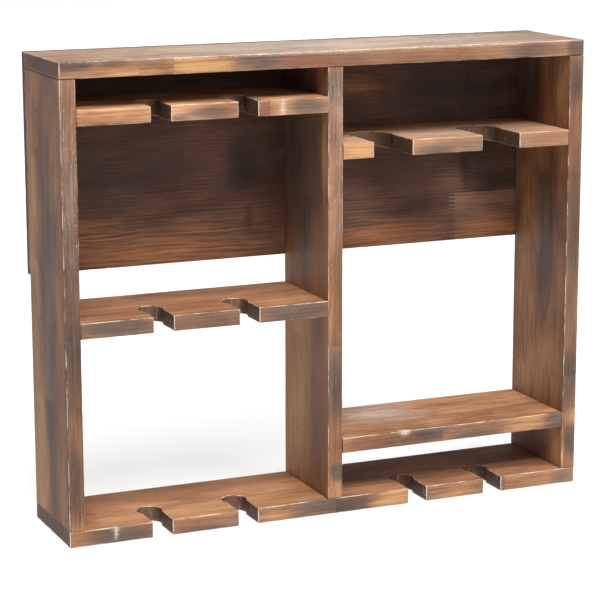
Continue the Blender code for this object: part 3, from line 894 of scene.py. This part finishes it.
def stained_pine(name, tones):
    """Pine, stained with a rag, scorched in places and sanded through along the edges.

    Growth rings a few millimetres wide show on the faces as long flames, and fibres as fine streaks.
    The satin finish leaves a soft sheen. Some scorch patches and the darkening of the slot walls also paint
    shade into the colour, and one pale patch paints a sheen. The attributes are written by mark().
    """
    made, tree = new_material(name)
    grain = add(tree, "ShaderNodeAttribute", attribute_name="grain").outputs["Vector"]
    joints = add(tree, "ShaderNodeAttribute", attribute_name="joints").outputs["Vector"]
    seed = add(tree, "ShaderNodeAttribute", attribute_name="seed").outputs["Fac"]
    lightness = add(tree, "ShaderNodeAttribute", attribute_name="lightness").outputs["Fac"]
    edge = add(tree, "ShaderNodeAttribute", attribute_name="edge_mm").outputs["Fac"]
    cut = add(tree, "ShaderNodeAttribute", attribute_name="cut").outputs["Fac"]
    end_grain = add(tree, "ShaderNodeAttribute", attribute_name="end_grain").outputs["Fac"]
    # Patches of scorch, amber, red and pale; some scorch patches are painted shade, and one pale patch is a
    # painted sheen
    stain = add(tree, "ShaderNodeAttribute", attribute_name="stain").outputs
    channels = add(tree, PARTS_OF_COLOUR, {0: stain["Color"]}).outputs
    # the pale channel: bleached and dusty patches, and the painted sheen on the top board's top face
    pale_patch_and_sheen = stain["Alpha"]

    # Finger joints: which length of timber this is, and the glue line between two lengths
    place = add(tree, PARTS_OF_VECTOR, {0: grain}).outputs
    zigzag = add(tree, MATH, {0: place["Y"], 1: FINGER_PITCH / MM / 2}, operation="PINGPONG")
    slope = FINGER_LENGTH / FINGER_PITCH * 2
    along = add(tree, MATH, {0: zigzag, 1: slope, 2: place["X"]}, operation="MULTIPLY_ADD")
    block = seed
    glue = 0.0
    for joint in add(tree, PARTS_OF_VECTOR, {0: joints}).outputs:
        past = add(tree, MATH, {0: along, 1: joint}, operation="GREATER_THAN")
        block = add(tree, MATH, {0: past, 1: NEXT_LENGTH, 2: block}, operation="MULTIPLY_ADD")
        away = add(tree, MATH, {0: along, 1: joint}, operation="SUBTRACT")
        away = add(tree, MATH, {0: away}, operation="ABSOLUTE")
        line = add(tree, RANGE, {0: away, 1: GLUE_LINE[0], 2: GLUE_LINE[1]}, interpolation_type="SMOOTHSTEP")
        glue = add(tree, MATH, {0: line, 1: glue}, operation="MAXIMUM")
    chance = add(tree, "ShaderNodeTexWhiteNoise", {"W": block}, noise_dimensions="1D").outputs["Color"]
    chances = add(tree, PARTS_OF_COLOUR, {0: chance}).outputs
    shift = add(tree, VECTOR, {0: chance, 1: LOG_SPREAD, 2: LOG_START}, operation="MULTIPLY_ADD")
    log = add(tree, VECTOR, {0: grain, 1: shift}, operation="ADD")

    # Grain that wanders by half a centimetre over a hand's length
    slow = add(tree, VECTOR, {0: log, 1: WANDER}, operation="MULTIPLY")
    wander = add(tree, NOISE, {"Vector": slow, "Scale": 1.0, "Detail": 2.0, "Roughness": 0.55})
    back = tuple(-reach / 2 for reach in WANDER_REACH)
    wander = add(tree, VECTOR, {0: wander.outputs["Color"], 1: WANDER_REACH, 2: back},
                 operation="MULTIPLY_ADD")
    bent = add(tree, VECTOR, {0: log, 1: wander}, operation="ADD")

    # Growth rings round the pith, palest where each year's growth starts
    rings = add(tree, "ShaderNodeTexWave",
                {"Vector": bent, "Scale": RINGS, "Distortion": 0.9, "Detail": 2.0, "Detail Scale": 0.3},
                wave_type="RINGS", rings_direction="X", wave_profile="SAW").outputs["Fac"]
    rings = add(tree, MATH, {0: rings, 1: 2.4}, operation="POWER")

    # Fibres: long streaks, then hair-fine short ones
    fibre = add(tree, VECTOR, {0: bent, 1: FIBRE}, operation="MULTIPLY")
    fibre = add(tree, NOISE, {"Vector": fibre, "Scale": 1.0, "Detail": 5.0, "Roughness": 0.62})
    hair = add(tree, VECTOR, {0: log, 1: HAIR}, operation="MULTIPLY")
    hair = add(tree, NOISE, {"Vector": hair, "Scale": 1.0, "Detail": 2.0, "Roughness": 0.6})

    # Rag-wiped stain: clouds a few centimetres wide, longer along the grain
    cloud = add(tree, VECTOR, {0: log, 1: CLOUD}, operation="MULTIPLY")
    cloud = add(tree, NOISE, {"Vector": cloud, "Scale": 1.0, "Detail": 4.0, "Roughness": 0.6})

    tone = add(tree, MATH, {0: rings, 1: RING_SHARE}, operation="MULTIPLY")
    for pattern, share in ((fibre, FIBRE_SHARE), (hair, HAIR_SHARE), (cloud, CLOUD_SHARE),
                           (chances[0], LENGTH_SHARE)):
        tone = add(tree, MATH, {0: pattern, 1: share, 2: tone}, operation="MULTIPLY_ADD")
    tone = add(tree, MATH, {0: tone, 1: lightness}, operation="ADD")
    tone = add(tree, RANGE, {0: tone, 1: TONE_RANGE[0], 2: TONE_RANGE[1]})
    colour = add(tree, "ShaderNodeValToRGB", {"Fac": tone}, stops=tones["wood"])
    eased_tone = add(tree, RANGE, {0: tone, 1: 0.0, 2: 1.0}, interpolation_type="SMOOTHSTEP")

    # Stained, scorched and amber patches, with their edges broken up by the fibres; some scorch patches are
    # painted shade, where the shelves and the top shade the uprights and the panel
    ragged = add(tree, MATH, {0: hair, 1: 0.35, 2: -0.72}, operation="MULTIPLY_ADD")
    ragged = add(tree, MATH, {0: fibre, 1: 1.1, 2: ragged}, operation="MULTIPLY_ADD")
    for channel, tint in zip(channels, (tones["char"], tones["amber"], tones["red"])):
        torn = add(tree, MATH, {0: channel, 1: ragged}, operation="ADD")
        torn = add(tree, RANGE, {0: torn, 1: 0.1, 2: 0.75}, interpolation_type="SMOOTHSTEP")
        within = add(tree, RANGE, {0: channel, 1: 0.0, 2: 0.15}, interpolation_type="SMOOTHSTEP")
        mask = add(tree, MATH, {0: torn, 1: within}, operation="MULTIPLY")
        streaked = add(tree, MIX, {0: eased_tone, 6: linear(tint[0]), 7: linear(tint[1])}, data_type="RGBA")
        colour = add(tree, MIX, {0: mask, 6: colour, 7: streaked}, data_type="RGBA")

    # A thin greyish film where the stain has bleached or dust has been rubbed in, and a painted sheen: the
    # pale veil over the top board's top face stands for a reflection of the bright background
    film = add(tree, MATH, {0: pale_patch_and_sheen, 1: ragged}, operation="ADD")
    film = add(tree, RANGE, {0: film, 1: 0.0, 2: 0.8}, interpolation_type="SMOOTHSTEP")
    within = add(tree, RANGE, {0: pale_patch_and_sheen, 1: 0.0, 2: 0.15}, interpolation_type="SMOOTHSTEP")
    film = add(tree, MATH, {0: film, 1: within}, operation="MULTIPLY")
    film = add(tree, MATH, {0: film, 1: tones["filmed"]}, operation="MULTIPLY")
    thin, thick = tones["film"]
    greyed = add(tree, MIX, {0: eased_tone, 6: linear(thin), 7: linear(thick)}, data_type="RGBA")
    colour = add(tree, MIX, {0: film, 6: colour, 7: greyed}, data_type="RGBA")

    # End grain drinks more stain
    soaked = add(tree, RANGE, {0: end_grain, 1: 0.45, 2: 0.95}, interpolation_type="SMOOTHSTEP")
    soaked = add(tree, MATH, {0: soaked, 1: tones["soaked"]}, operation="MULTIPLY")
    colour = add(tree, MIX, {0: soaked, 6: colour, 7: linear(tones["end"])}, data_type="RGBA")

    # Sawn slot walls, darkened for pooled stain and in part as painted shade inside the slots, with pale saw
    # marks about 1 mm apart
    pooled = add(tree, MATH, {0: cut, 1: tones["pooled"]}, operation="MULTIPLY")
    colour = add(tree, MIX, {0: pooled, 6: colour, 7: linear(tones["end"])}, data_type="RGBA")
    saw = add(tree, VECTOR, {0: grain, 1: SAW_MARK}, operation="MULTIPLY")
    saw = add(tree, NOISE, {"Vector": saw, "Scale": 1.0, "Detail": 3.0, "Roughness": 0.7})
    saw = add(tree, RANGE, {0: saw, 1: 0.58, 2: 0.72}, interpolation_type="SMOOTHSTEP")
    saw = add(tree, MATH, {0: saw, 1: cut}, operation="MULTIPLY")
    marked = add(tree, MATH, {0: saw, 1: 0.45}, operation="MULTIPLY")
    colour = add(tree, MIX, {0: marked, 6: colour, 7: linear(tones["worn"])}, data_type="RGBA")

    # Glue line of a finger joint
    squeezed = add(tree, MATH, {0: glue, 1: 0.12}, operation="MULTIPLY")
    colour = add(tree, MIX, {0: squeezed, 6: colour, 7: linear(tones["glue"])}, data_type="RGBA")

    # Edges rubbed through to pale wood, in a line that comes and goes
    reach = add(tree, VECTOR, {0: grain, 1: RUB}, operation="MULTIPLY")
    reach = add(tree, NOISE, {"Vector": reach, "Scale": 1.0, "Detail": 4.0, "Roughness": 0.7})
    reach = add(tree, RANGE, {0: reach, 1: 0.30, 2: 0.70, 3: PALE_REACH[0], 4: PALE_REACH[1]},
                interpolation_type="SMOOTHSTEP")
    rubbed = add(tree, MATH, {0: edge, 1: reach}, operation="DIVIDE")
    rubbed = add(tree, MATH, {0: 1.0, 1: rubbed}, operation="SUBTRACT", use_clamp=True)
    rubbed = add(tree, RANGE, {0: rubbed, 1: 0.0, 2: 0.6}, interpolation_type="SMOOTHSTEP")
    rubbed = add(tree, MATH, {0: rubbed, 1: tones["rubbed"]}, operation="MULTIPLY")
    colour = add(tree, MIX, {0: rubbed, 6: colour, 7: linear(tones["worn"])}, data_type="RGBA")

    # Short pale scratches and flecks, thickest towards the edges and on the pale patches, the painted sheen
    # among them
    fleck = add(tree, VECTOR, {0: grain, 1: FLECK}, operation="MULTIPLY")
    fleck = add(tree, NOISE, {"Vector": fleck, "Scale": 1.0, "Detail": 4.0, "Roughness": 0.75})
    near_edge = add(tree, RANGE, {0: edge, 1: 9.0, 2: 0.5, 3: 0.0, 4: 0.07}, interpolation_type="SMOOTHSTEP")
    level = add(tree, MATH, {0: 0.70, 1: near_edge}, operation="SUBTRACT")
    more_flecks_on_pale = add(tree, MATH, {0: pale_patch_and_sheen, 1: 0.28}, operation="MULTIPLY")
    level = add(tree, MATH, {0: level, 1: more_flecks_on_pale}, operation="SUBTRACT")
    flecks = add(tree, MATH, {0: fleck, 1: level}, operation="SUBTRACT")
    flecks = add(tree, RANGE, {0: flecks, 1: 0.0, 2: 0.06}, interpolation_type="SMOOTHSTEP")
    flecks = add(tree, MATH, {0: flecks, 1: 0.42}, operation="MULTIPLY")
    colour = add(tree, MIX, {0: flecks, 6: colour, 7: linear(tones["worn"])}, data_type="RGBA")

    roughness = add(tree, MATH, {0: fibre, 1: 0.22, 2: tones["roughness"]}, operation="MULTIPLY_ADD")
    roughness = add(tree, MATH, {0: rubbed, 1: 0.15, 2: roughness}, operation="MULTIPLY_ADD")
    height = fibre
    for pattern, share in ((rings, -0.35), (hair, 0.45), (saw, -0.6), (glue, -0.4)):
        height = add(tree, MATH, {0: pattern, 1: share, 2: height}, operation="MULTIPLY_ADD")
    bump = add(tree, "ShaderNodeBump", {"Height": height, "Strength": 0.5, "Distance": BUMP_DEPTH})
    shader = add(tree, "ShaderNodeBsdfPrincipled",
                 {"Base Color": colour, "Roughness": roughness, "Normal": bump, "IOR": 1.5,
                  "Specular IOR Level": 0.22})
    add(tree, "ShaderNodeOutputMaterial", {"Surface": shader})
    return made


# Colours, and how strongly each mark shows: for the case, and for the back panel, whose colours are all far
# darker
CASE_TONES = {
    "wood": ((0.0, "4B3428"), (0.3, "714B34"), (0.55, "8F6446"), (0.8, "AA7E5B"), (1.0, "C19776")),
    "char": ("3A2E28", "6C584C"),
    "amber": ("8A6140", "BA8E62"),
    "red": ("583A2C", "895B44"),
    "film": ("83746A", "B3A291"),
    "end": "3C2B23",
    "filmed": 0.85,
    "soaked": 0.62,
    "pooled": 0.72,
    "worn": "CBBDAE",
    "glue": "3E2B22",
    "rubbed": 0.78,
    "roughness": 0.46,
}
PANEL_TONES = {
    "wood": ((0.0, "281B15"), (0.3, "38261E"), (0.55, "4C3428"), (0.8, "614333"), (1.0, "785743")),
    "char": ("14110F", "2C2522"),
    "amber": ("774A2E", "9C6640"),
    "red": ("351F17", "5E3A2B"),
    "film": ("4C423B", "75685D"),
    "end": "2B201A",
    "filmed": 0.85,
    "soaked": 0.5,
    "pooled": 0.0,
    "worn": "B0A294",
    "glue": "1E1612",
    "rubbed": 0.4,
    "roughness": 0.48,
}


def steel(name, tones, grit_mm, roughness):
    """Rolled steel wire or strip: a fine dull mottle over a metallic ground."""
    made, tree = new_material(name)
    place = add(tree, "ShaderNodeTexCoord").outputs["Object"]
    scaled = add(tree, VECTOR, {0: place, 1: (1 / (grit_mm * MM),) * 3}, operation="MULTIPLY")
    mottle = add(tree, NOISE, {"Vector": scaled, "Scale": 1.0, "Detail": 4.0})
    colour = add(tree, "ShaderNodeValToRGB", {"Fac": mottle}, stops=tones)
    rough = add(tree, RANGE, {0: mottle, 3: roughness - 0.08, 4: roughness + 0.12})
    bump = add(tree, "ShaderNodeBump", {"Height": mottle, "Strength": 0.25, "Distance": 0.05 * MM})
    shader = add(tree, "ShaderNodeBsdfPrincipled",
                 {"Base Color": colour, "Roughness": rough, "Normal": bump, "Metallic": 1.0})
    add(tree, "ShaderNodeOutputMaterial", {"Surface": shader})
    return made


# --- Building the pieces -------------------------------------------------------------------------

FLAT = (0, 1, 2)  # length along X, depth along Y, thickness along Z
UPRIGHT = (2, 1, 0)  # length along Z, depth along Y, thickness along X
STAVE = (0, 2, 1)  # length along X, height along Z, thickness along Y

SLOTS = {
    "left_upper_shelf": (LEFT_SHELF_SLOTS, STEM_SLOT),
    "left_middle_shelf": (LEFT_SHELF_SLOTS, STEM_SLOT),
    "neck_shelf": (NECK_SHELF_SLOTS, NECK_SLOT),
    "base_board": (BASE_SLOTS, STEM_SLOT),
}
OPEN_ENDED = ("top_board", "base_board")
UPRIGHTS = ("left_side", "divider", "right_side")
SHELVES = ("left_upper_shelf", "left_middle_shelf", "neck_shelf", "bottle_shelf")
STAVES = ("panel_lower_left", "panel_lower_right", "panel_upper_left", "panel_upper_right")


def wood_piece(name, outline, thickness_range, axes, seed, tree, material, slot_name):
    """Makes one board or stave: its mesh, holes, marks, wear and material."""
    mesh, outline = board_mesh(name, outline, thickness_range, axes)
    piece = thing(name + "_worn", mesh)
    holes = holes_of(name)
    if holes:
        piece = subtract(piece, holes)
    for seat in seats_of(name):
        piece = subtract(piece, seat)
    joints = JOINTS.get(name, ())
    joints += (NO_JOINT,) * (MOST_JOINTS - len(joints))
    lightness = LIGHTNESS.get(name, 0.0)
    patches = PATCHES.get(name, ())
    if name in STAVES:
        patches += PATCHES["panel"]
    mark(piece, outline, thickness_range, axes, seed, joints, lightness, patches)
    use_tree(piece, tree, {"Seed": float(seed), "Material": material})
    piece = baked(piece, name + "_wood")
    piece.data.materials.clear()
    piece.data.materials.append(material)
    smooth_faces(piece.data, WOOD_SMOOTHING)
    stand_in_for(piece, [name], slot_name)


def smooth_faces(mesh, angle):
    """Smooth shading, broken at corners sharper than an angle in degrees."""
    mesh.shade_smooth()
    mesh.set_sharp_from_angle(angle=math.radians(angle))


def make_boards(tree, material):
    """The nine boards of the case."""
    seeds = random.Random(SEED)
    for name in OPEN_ENDED + SHELVES:
        low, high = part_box(name)
        centre = (low.x + high.x) / 2
        offsets, slot = SLOTS.get(name, ((), None))
        ends = EASED if name in OPEN_ENDED else BUTTED
        outline = board_outline((low.x, high.x), (low.y, high.y), ends, [centre + s for s in offsets], slot)
        seed = seeds.uniform(0, 50)
        wood_piece(name, outline, (low.z, high.z), FLAT, seed, tree, material, "stained_pine")
    for name in UPRIGHTS:
        low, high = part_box(name)
        outline = board_outline((low.z, high.z), (low.y, high.y), BUTTED)
        seed = seeds.uniform(0, 50)
        wood_piece(name, outline, (low.x, high.x), UPRIGHT, seed, tree, material, "stained_pine")


def make_panel(tree, material):
    """The four staves of the back panel."""
    seeds = random.Random(SEED + 1)
    lowest = min(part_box(name)[0].z for name in STAVES)
    highest = max(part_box(name)[1].z for name in STAVES)
    for name in STAVES:
        low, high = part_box(name)
        outline = stave_outline(low, high, low.z == lowest, high.z == highest)
        seed = seeds.uniform(0, 50)
        wood_piece(name, outline, (low.y, high.y), STAVE, seed, tree, material, "dark_stained_pine")


def screw_model(length):
    """A countersunk cross-head screw with a rolled thread, its head at the origin, driven along Z."""
    shape = bmesh.new()
    steps = round((length - SCREW_HEAD_DEPTH) / THREAD_PITCH * THREAD_STEPS)
    rings = [(0.0, SCREW_HEAD_RADIUS - HEAD_EDGE), (HEAD_EDGE, SCREW_HEAD_RADIUS)]
    rings = [[(r * math.cos(a), r * math.sin(a), z) for a in circle()] for z, r in rings]
    for step in range(steps + 1):
        z = SCREW_HEAD_DEPTH + (length - SCREW_HEAD_DEPTH) * step / steps
        point = min(1.0, (length - z) / SCREW_TIP * (1 - POINT_SHARE) + POINT_SHARE)
        ring = []
        for a in circle():
            phase = (z / THREAD_PITCH - a / (2 * math.pi)) % 1.0
            ridge = max(0.0, 1.0 - abs(phase - 0.5) * 4.0)  # a crest over half of each turn
            settle = min(1.0, (z - SCREW_HEAD_DEPTH) / THREAD_PITCH)
            r = (SCREW_RADIUS - THREAD_DEPTH * (1.0 - ridge) * settle) * point
            ring.append((r * math.cos(a), r * math.sin(a), z))
        rings.append(ring)
    made = [[shape.verts.new(p) for p in ring] for ring in rings]
    for lower, upper in zip(made, made[1:]):
        for side in range(ROUND_SIDES):
            following = (side + 1) % ROUND_SIDES
            shape.faces.new((lower[side], lower[following], upper[following], upper[side]))
    shape.faces.new(list(reversed(made[0])))
    shape.faces.new(made[-1])
    screw = from_bmesh("screw", shape)
    cross = bmesh.new()
    for turn in (0.0, 0.5 * math.pi):
        tapered_bar(cross, CROSS["reach"], CROSS["half_width"], CROSS["depth"], turn)
    recess = screw.modifiers.new("recess", "BOOLEAN")
    recess.operation = "DIFFERENCE"
    recess.solver = "EXACT"
    recess.use_self = True
    cutter = from_bmesh("recess cutter", cross)
    recess.object = cutter
    made = baked(screw, "screw")
    bpy.data.objects.remove(cutter)
    return made


def circle():
    """Angles round a turned part."""
    return [2 * math.pi * side / ROUND_SIDES for side in range(ROUND_SIDES)]


def tapered_bar(shape, reach, half_width, depth, turn):
    """One arm of a cross recess, narrowing with depth."""
    spin = Matrix.Rotation(turn, 3, "Z")
    rings = []
    for z, share in ((-PAST / 2, 1.0), (depth, CROSS_TAPER)):
        flat = [(reach * share, half_width), (-reach * share, half_width),
                (-reach * share, -half_width), (reach * share, -half_width)]
        rings.append([shape.verts.new(spin @ Vector((x, y, z))) for x, y in flat])
    for i in range(4):
        j = (i + 1) % 4
        shape.faces.new((rings[0][i], rings[0][j], rings[1][j], rings[1][i]))
    shape.faces.new(list(reversed(rings[0])))
    shape.faces.new(rings[1])


def drive(name, places, model, tree, material, nodes, slot_name):
    """Sets a model at each (start, direction), as one piece that stands for the nodes."""
    mesh = bpy.data.meshes.new(name)
    mesh.from_pydata([start for start, _ in places], [], [])
    write_attribute(mesh, "drive", "FLOAT_VECTOR", "vector", [tuple(way) for _, way in places])
    points = thing(name + "_points", mesh)
    use_tree(points, tree, {"Fastener": model, "Size": 1.0, "Seed": SEED, "Material": material})
    piece = baked(points, name)
    bpy.data.objects.remove(model)
    smooth_faces(piece.data, STEEL_SMOOTHING)
    stand_in_for(piece, nodes, slot_name)


def make_fasteners(wire_steel, zinc):
    """All the nails, the panel's screws and the hangers' screws, each kind as one piece."""
    tree = fastener_tree()
    shape = bmesh.new()
    turned(shape, NAIL_PROFILE, Vector((0, 0, 0)), Vector((0, 0, 1)))
    places = [(start + way * NAIL_SET, way) for start, way in map(nail_place, NAILS)]
    drive("lost_head_nails", places, from_bmesh("nail", shape), tree, wire_steel, NAILS, "steel_nail")
    forward = Vector((0, -1, 0))
    for name, nodes in (("panel_screws", PANEL_SCREWS), ("hanger_screws", HANGER_SCREWS)):
        length = screw_place(nodes[0])[1]
        places = [(screw_place(node)[0], forward) for node in nodes]
        drive(name, places, screw_model(length), tree, zinc, nodes, "zinc_plated_steel")


def make_plates(zinc):
    """Stamped keyhole plates: rounded strip, keyhole, two countersunk screw holes, burred edges off."""
    for node in PLATES:
        low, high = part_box(node)
        place = Vector(((low.x + high.x) / 2, high.y, (low.z + high.z) / 2))
        body = bmesh.new()
        prism(body, stadium(PLATE["width"], PLATE["length"]), PLATE["thickness"], place)
        bmesh.ops.translate(body, verts=[v for v in body.verts if v.co.y > place.y], vec=(0, -PAST, 0))
        plate = from_bmesh(node + "_body", body)
        opening = bmesh.new()
        prism(opening, keyhole(), PLATE["thickness"] + PAST, place)
        for screw in HANGER_SCREWS:
            if overlaps(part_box(screw), (low, high)):
                head, length = screw_place(screw)
                turned(opening, screw_hole(length), head, Vector((0, -1, 0)))
        plate = subtract(plate, opening)
        bevel = plate.modifiers.new("deburred", "BEVEL")
        bevel.width = PLATE_BEVEL
        bevel.segments = 2
        bevel.limit_method = "ANGLE"
        bevel.angle_limit = PLATE_BEVEL_ANGLE
        plate = baked(plate, node.replace("hanger", "keyhole"))
        plate.data.materials.clear()
        plate.data.materials.append(zinc)
        smooth_faces(plate.data, STEEL_SMOOTHING)
        stand_in_for(plate, [node], "zinc_plated_steel")


# --- Studio --------------------------------------------------------------------------------------

VIEW_AZIMUTH = -23.55
VIEW_ELEVATION = 11.96
VIEW_ROLL = -0.107
VIEW_DISTANCE = 2.1253
VIEW_TARGET = Vector((-0.0128, -0.0042, 0.2005))
LENS_MM = 132.7
SENSOR_MM = 36.0
AMBIENT = 0.3  # light from the white walls, against 1.0 for the background as seen
FLOOR_SIZE = 6.0
FLOOR_DROP = 0.5 * MM  # keeps the floor clear of the base board
FLOOR_GLOW = 0.72


def look_from(azimuth, elevation, distance, target):
    """Location and rotation for something that looks at a target; azimuth 0 looks along +Y."""
    a, e = math.radians(azimuth), math.radians(elevation)
    back = Vector((math.sin(a) * math.cos(e), -math.cos(a) * math.cos(e), math.sin(e)))
    return target + back * distance, (-back).to_track_quat("-Z", "Y")


def make_camera():
    """A long lens, to the left of the rack's front and looking down a little."""
    data = bpy.data.cameras.new("camera")
    data.lens = LENS_MM
    data.sensor_width = SENSOR_MM
    camera = bpy.data.objects.new("camera", data)
    place, turn = look_from(VIEW_AZIMUTH, VIEW_ELEVATION, VIEW_DISTANCE, VIEW_TARGET)
    camera.location = place
    camera.rotation_mode = "QUATERNION"
    camera.rotation_quaternion = turn @ Matrix.Rotation(math.radians(VIEW_ROLL), 3, "Z").to_quaternion()
    bpy.context.scene.collection.objects.link(camera)
    bpy.context.scene.camera = camera


def lamp(name, kind, azimuth, elevation, distance, **settings):
    """A lamp that points at the rack."""
    data = bpy.data.lights.new(name, kind)
    for key, value in settings.items():
        setattr(data, key, value)
    made = bpy.data.objects.new(name, data)
    made.location, turn = look_from(azimuth, elevation, distance, VIEW_TARGET)
    made.rotation_mode = "QUATERNION"
    made.rotation_quaternion = turn
    bpy.context.scene.collection.objects.link(made)


def make_studio():
    """White walls, a pale floor, and two soft lamps in front."""
    world = bpy.data.worlds.new("white studio")
    world.use_nodes = True
    tree = world.node_tree
    tree.nodes.clear()
    seen = add(tree, "ShaderNodeLightPath").outputs["Is Camera Ray"]
    strength = add(tree, RANGE, {"Value": seen, "To Min": AMBIENT, "To Max": 1.0})
    walls = add(tree, "ShaderNodeBackground", {"Color": linear("FFFFFF"), "Strength": strength})
    add(tree, "ShaderNodeOutputWorld", {"Surface": walls})
    bpy.context.scene.world = world
    bpy.context.scene.view_settings.view_transform = "Standard"
    shape = bmesh.new()
    bmesh.ops.create_grid(shape, x_segments=1, y_segments=1, size=FLOOR_SIZE)
    floor = from_bmesh("floor", shape)
    floor.location.z = -FLOOR_DROP
    paint, tree = new_material("white acrylic light table")
    shader = add(tree, "ShaderNodeBsdfPrincipled",
                 {"Base Color": linear("8A8A88"), "Roughness": 0.9, "Emission Color": linear("FFFFFF"),
                  "Emission Strength": FLOOR_GLOW})
    add(tree, "ShaderNodeOutputMaterial", {"Surface": shader})
    floor.data.materials.append(paint)
    lamp("overhead softbox", "SUN", -8, 56, 2.2, energy=5.9, angle=math.radians(34))
    lamp("front softbox", "AREA", 12, 22, 2.6, energy=12, shape="RECTANGLE", size=1.4, size_y=1.0)


def main():
    """Builds everything, in order."""
    make_camera()
    make_studio()
    case_wood = stained_pine("stained pine, rag-wiped and scorched", CASE_TONES)
    panel_wood = stained_pine("dark stained pine, finger-jointed", PANEL_TONES)
    wire_steel = steel("mild steel wire, dulled by stain", ((0.3, "2A2622"), (0.7, "4B4540")), 0.5, 0.55)
    zinc = steel("zinc-plated steel, pressed", ((0.3, "A3A7AA"), (0.7, "C9CDCF")), 0.8, 0.34)
    tree = wear_tree()
    make_boards(tree, case_wood)
    make_panel(tree, panel_wood)
    make_fasteners(wire_steel, zinc)
    make_plates(zinc)


main()
